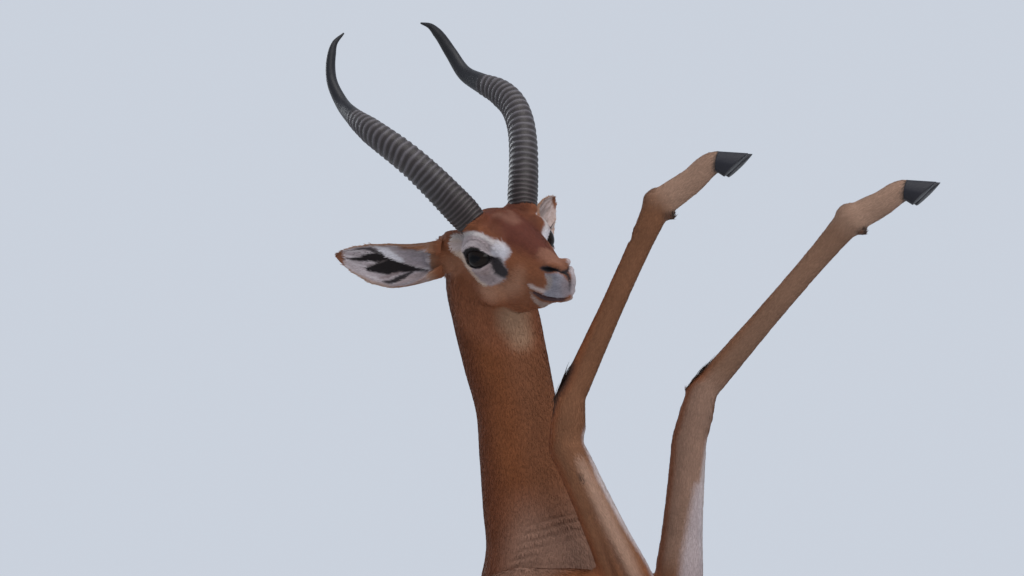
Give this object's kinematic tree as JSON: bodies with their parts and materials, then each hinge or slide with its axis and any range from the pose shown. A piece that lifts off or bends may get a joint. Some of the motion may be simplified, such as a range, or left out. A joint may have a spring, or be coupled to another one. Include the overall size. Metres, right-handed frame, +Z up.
{
  "type": "standing gerenuk model",
  "caption": "Life-size gerenuk ram reared upright on its hind legs, head turned, forelegs raised and bent, on a flat stand.",
  "frame": {"origin": "middle of the flat stand's underside", "axes": "+Z up, +X the way the animal's chest and belly face, +Y to its left"},
  "size_m": [0.8078, 0.46, 2.0742],
  "materials": {
    "coat": "short rufous coat over skin",
    "leg_coat": "short tan coat over skin",
    "ear_coat": "short pale coat, thin skin",
    "dark_hair": "black hair locks",
    "horn": "ridged dark horn, satin",
    "hoof": "smooth dark hoof, satin",
    "eye": "wet dark eye, glossy",
    "stand_wood": "flat oiled wood"
  },
  "bodies": {
    "root": {"head": "coat", "neck": "coat", "torso": "coat", "tail": "coat", "tail_tuft": "dark_hair", "left_ear": "ear_coat", "right_ear": "ear_coat", "left_eye": "eye", "right_eye": "eye", "left_horn": "horn", "right_horn": "horn", "left_forearm": "leg_coat", "right_forearm": "leg_coat", "left_fore_cannon": "leg_coat", "right_fore_cannon": "leg_coat", "left_fore_pastern": "leg_coat", "right_fore_pastern": "leg_coat", "left_fore_hoof_left": "hoof", "left_fore_hoof_right": "hoof", "right_fore_hoof_left": "hoof", "right_fore_hoof_right": "hoof", "left_thigh": "coat", "right_thigh": "coat", "left_shank": "coat", "right_shank": "coat", "left_hind_cannon": "leg_coat", "right_hind_cannon": "leg_coat", "left_hind_pastern": "leg_coat", "right_hind_pastern": "leg_coat", "left_hind_hoof_left": "hoof", "left_hind_hoof_right": "hoof", "right_hind_hoof_left": "hoof", "right_hind_hoof_right": "hoof", "stand_base": "stand_wood"}
  },
  "joints": []
}
